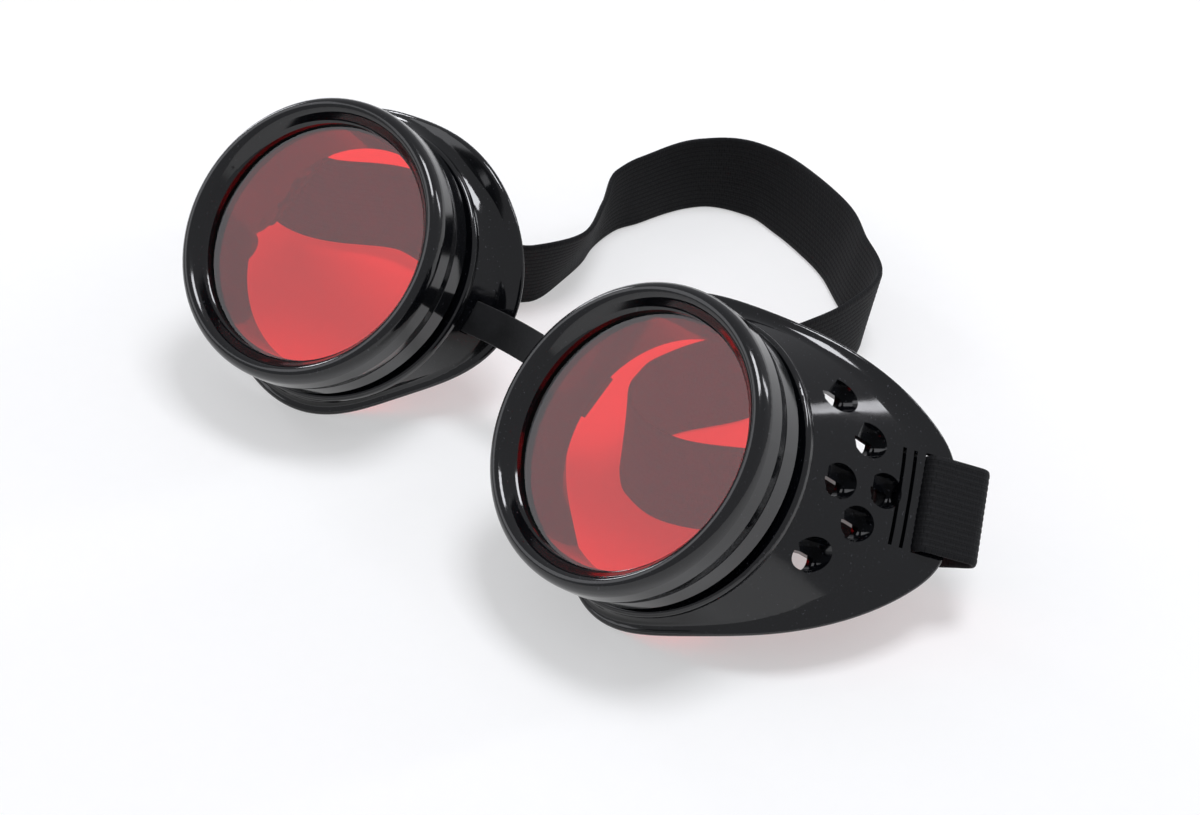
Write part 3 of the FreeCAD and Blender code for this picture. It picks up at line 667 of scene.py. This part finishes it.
@dataclass
class BridgeStrip:
    """Flexible strip bowed between the cups, with a stop head inside each."""

    finish: FlexibleStrip
    width: float = 7.0
    thickness: float = 1.2
    tab: float = 4.4
    head_thickness: float = 1.6
    head_extra: float = 1.2
    edge: float = 0.28
    head_play: float = 0.8
    depth: float = 17.8
    # Distance from each cup's axis to the middle of its nose wall.
    wall_right: float = 30.541
    wall_left: float = 29.917
    arc_points: int = 14
    # Spare rows this far from a corner keep its shading crisp.
    crease: float = 0.02
    sharp_deg: float = 40.0
    corner_points: int = 5
    bend_from: float = 6.0
    bend_to: float = -4.5

    def half(self, side: Side, reach: float) -> tuple[np.ndarray, np.ndarray]:
        """Lay one half of the strip, from its stop head to the middle.

        The tab is straight through the cup's wall until its distance from the middle plane is the reach; half
        of a level arc, tangent to it, goes on from there.

        Args:
            side: eyecup that holds this end.
            reach: distance from the middle plane where the tab ends.

        Returns:
            Points, and the head's share of growth at each.
        """
        cup = CupFrame(side)
        wall = self.nose(side)
        inwards = self.inwards(cup)
        toe = math.radians(cup.toe_deg)
        far = (abs(wall[0] - cup.shift[0]) - reach) / math.cos(toe)
        near = -0.5 * self.tab - self.head_play
        back = near - self.head_thickness
        steps = np.array([back, back + self.crease, near - self.crease, near, 0.0, far])
        tab = wall + inwards * steps[:, None]
        turn = np.linspace(toe, 0.0, self.arc_points)[1:]
        radius = reach / math.sin(toe)
        bow = np.stack([
            cup.shift[0] + side.value * radius * np.sin(turn),
            tab[-1, 1] + radius * (np.cos(turn) - math.cos(toe)),
            np.full(len(turn), tab[-1, 2])], axis=1)
        # The head's front face falls to the strip's own section within the crease.
        growth = np.concatenate([[1.0, 1.0, 1.0, 0.0, 0.0, 0.0], np.zeros(len(turn))])
        return np.concatenate([tab, bow]), growth

    def inwards(self, cup: CupFrame) -> np.ndarray:
        """Level direction from a cup to the other one."""
        toe = math.radians(cup.toe_deg)
        return np.array([-cup.side.value * math.cos(toe), math.sin(toe), 0.0])

    def nose(self, side: Side) -> np.ndarray:
        """Find the middle of a cup's nose wall at the strip's depth.

        Args:
            side: eyecup that has the wall.

        Returns:
            The point, in millimetres.
        """
        cup = CupFrame(side)
        reach = self.wall_right if side is Side.RIGHT else self.wall_left
        return cup.centre - cup.axes()[2] * self.depth + self.inwards(cup) * reach

    def path(self) -> tuple[np.ndarray, np.ndarray, np.ndarray, np.ndarray]:
        """Lay the strip from head to head.

        Returns:
            Points, width directions, thickness directions and the head's share of growth at each point.
        """
        cup = CupFrame(Side.RIGHT)
        toe, tilt = math.radians(cup.toe_deg), math.radians(cup.tilt_deg)
        starts = [self.nose(side) + self.inwards(CupFrame(side)) * 0.5 * self.tab for side in Side]
        reach = min(abs(start[0] - cup.shift[0]) for start in starts)
        right, growth_a = self.half(Side.RIGHT, reach)
        left, growth_b = self.half(Side.LEFT, reach)
        places = np.concatenate([right, left[-2::-1]])
        growth = np.concatenate([growth_a, growth_b[-2::-1]])
        # The strip turns evenly along the arc, and stays at the cup's own angle on each tab.
        turn = np.arcsin(np.clip((places[:, 0] - cup.shift[0]) / reach, -1.0, 1.0) * math.sin(toe))
        ways = np.stack([np.sin(turn), np.cos(turn)], axis=1)
        wide = np.column_stack([ways * math.sin(tilt), np.full(len(turn), math.cos(tilt))])
        thick = np.column_stack([-ways * math.cos(tilt), np.full(len(turn), math.sin(tilt))])
        return places, wide, thick, growth

    def build(self) -> bpy.types.Object:
        """Make the strip and dress it.

        The section is a rectangle with quarter-round edges, widened and thickened at the heads.

        Returns:
            The finished piece.
        """
        places, wide, thick, growth = self.path()
        quarter = np.linspace(0.0, 0.5 * math.pi, self.corner_points)
        turn = np.concatenate([quarter + k * 0.5 * math.pi for k in range(4)])
        corner_w = np.repeat([1.0, -1.0, -1.0, 1.0], self.corner_points)
        corner_t = np.repeat([1.0, 1.0, -1.0, -1.0], self.corner_points)
        half_w = 0.5 * self.width + self.head_extra * growth
        half_t = 0.5 * self.thickness + 0.5 * self.head_extra * growth
        widths = corner_w * (half_w - self.edge)[:, None] + self.edge * np.cos(turn)
        depths = corner_t * (half_t - self.edge)[:, None] + self.edge * np.sin(turn)
        piece = swept_mesh("bridge_flex_strip", places, wide, thick, widths, depths,
                           sharp_deg=self.sharp_deg)
        dress(piece, self.finish.material())
        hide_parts("bridge_strip")
        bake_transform(piece)
        return piece


@dataclass
class Optics:
    """The eyecups, lens rings and lenses, which keep their CAD shapes."""

    cup_finish: MouldedPlastic
    ring_finish: MouldedPlastic
    lens_finish: TintedLens

    def dress_nodes(self) -> list[bpy.types.Object]:
        """Give each CAD node its finish.

        Returns:
            The dressed nodes.
        """
        finishes = {"eyecup_": self.cup_finish, "lens_ring_": self.ring_finish, "lens_": self.lens_finish}
        dressed = []
        for stem, finish in finishes.items():
            material = finish.material()
            for side in Side:
                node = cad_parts[stem + side.word]
                dress(node, material)
                dressed.append(node)
        return dressed


@dataclass(frozen=True)
class SoftBox:
    """One soft box: place, aim, width and height in metres, and power in watts."""

    spot: tuple[float, float, float]
    aim: tuple[float, float, float]
    width: float
    height: float
    power: float


@dataclass
class Studio:
    """White sweep, soft boxes and the camera that took the picture."""

    floor_finish: StudioFloor
    floor_half: float = 3.0
    camera_spot: tuple[float, float, float] = (282.735, -292.714, 321.003)
    azimuth_deg: float = 44.634
    elevation_deg: float = 38.997
    focal_mm: float = 73.5
    sensor_mm: float = 36.0
    near_clip: float = 0.01
    far_clip: float = 20.0
    sky: float = 0.46
    light_colour: str = "#f9faff"
    # Overhead key, broad box that the lenses mirror, and two strips that draw the streaks on the rings.
    boxes: tuple[SoftBox, ...] = (
        SoftBox(spot=(0.12, 0.25, 1.20), aim=(0.0, 0.0, 0.02), width=0.42, height=0.42, power=8.2),
        SoftBox(spot=(-1.05, -0.73, 0.77), aim=(0.0, -0.04, 0.03), width=1.0, height=0.9, power=4.0),
        SoftBox(spot=(0.55, 1.10, 0.60), aim=(0.0, 0.0, 0.03), width=0.14, height=0.55, power=2.4),
        SoftBox(spot=(-1.20, 0.15, 0.35), aim=(0.0, 0.0, 0.03), width=0.12, height=0.50, power=2.4))

    def floor(self) -> None:
        """Lay the white sweep under the object."""
        half = self.floor_half
        corners = [(-half, -half, 0.0), (half, -half, 0.0), (half, half, 0.0), (-half, half, 0.0)]
        mesh = bpy.data.meshes.new("paper_sweep")
        mesh.from_pydata(corners, [], [(0, 1, 2, 3)])
        sweep = bpy.data.objects.new("paper_sweep", mesh)
        bpy.context.scene.collection.objects.link(sweep)
        dress(sweep, self.floor_finish.material())

    def lamps(self) -> None:
        """Hang the soft boxes, each turned to its aim."""
        for number, box in enumerate(self.boxes):
            light = bpy.data.lights.new(f"soft_box_{number}", "AREA")
            light.shape = "RECTANGLE"
            light.size, light.size_y, light.energy = box.width, box.height, box.power
            light.color = linear(self.light_colour)[:3]
            lamp = bpy.data.objects.new(light.name, light)
            bpy.context.scene.collection.objects.link(lamp)
            away = unit(np.array(box.spot) - np.array(box.aim))
            lamp.location = box.spot
            lamp.rotation_euler = (math.acos(away[2]), 0.0, math.atan2(away[1], away[0]) + 0.5 * math.pi)

    def world(self) -> None:
        """Fill the room with an even white light."""
        world = bpy.data.worlds.new("white_room")
        world.use_nodes = True
        tree = world.node_tree
        tree.nodes.clear()
        shine = add_node(tree, "ShaderNodeBackground", {
            "Color": linear(self.light_colour), "Strength": self.sky})
        add_node(tree, "ShaderNodeOutputWorld", {"Surface": shine.outputs[0]})
        bpy.context.scene.world = world

    def camera(self) -> None:
        """Set the camera at the picture's place and angle."""
        lens = bpy.data.cameras.new("studio_camera")
        lens.lens, lens.sensor_width, lens.sensor_fit = self.focal_mm, self.sensor_mm, "HORIZONTAL"
        lens.clip_start, lens.clip_end = self.near_clip, self.far_clip
        camera = bpy.data.objects.new("studio_camera", lens)
        bpy.context.scene.collection.objects.link(camera)
        camera.location = np.array(self.camera_spot) * MM
        # A camera that isn't turned looks straight down.
        raised = math.radians(90.0 - self.elevation_deg)
        camera.rotation_euler = (raised, 0.0, math.radians(self.azimuth_deg))
        bpy.context.scene.camera = camera

    def build(self) -> None:
        """Set up the whole studio."""
        bpy.context.scene.view_settings.view_transform = "Standard"
        self.floor()
        self.lamps()
        self.world()
        self.camera()


def main() -> None:
    """Build every piece in order and report it."""
    logging.basicConfig(level=logging.INFO)
    optics = Optics(
        cup_finish=MouldedPlastic("moulded_black_abs_cup", colour="#07080b", dust="#4a4b50",
                                  rough_low=0.06, rough_high=0.12),
        ring_finish=MouldedPlastic("moulded_black_abs_ring", colour="#08090c", dust="#4a4b50",
                                   rough_low=0.07, rough_high=0.14),
        lens_finish=TintedLens("dyed_red_polycarbonate", dye="#f01b1c", shadow="#f65a5a"))
    for node in optics.dress_nodes():
        report(node)
    elastic = WovenElastic("woven_black_elastic", thread="#0c0d10", gap="#030304", lint="#34353a",
                           rib_mm=1.17)
    report(Headband(elastic).build())
    strip = FlexibleStrip("soft_black_pvc", colour="#0a0b0d", rubbed="#131417")
    report(BridgeStrip(strip).build())
    Studio(StudioFloor("white_paper_sweep", colour="#fbfbfb", shade="#f7f7f7")).build()


if __name__ == "__main__":
    main()
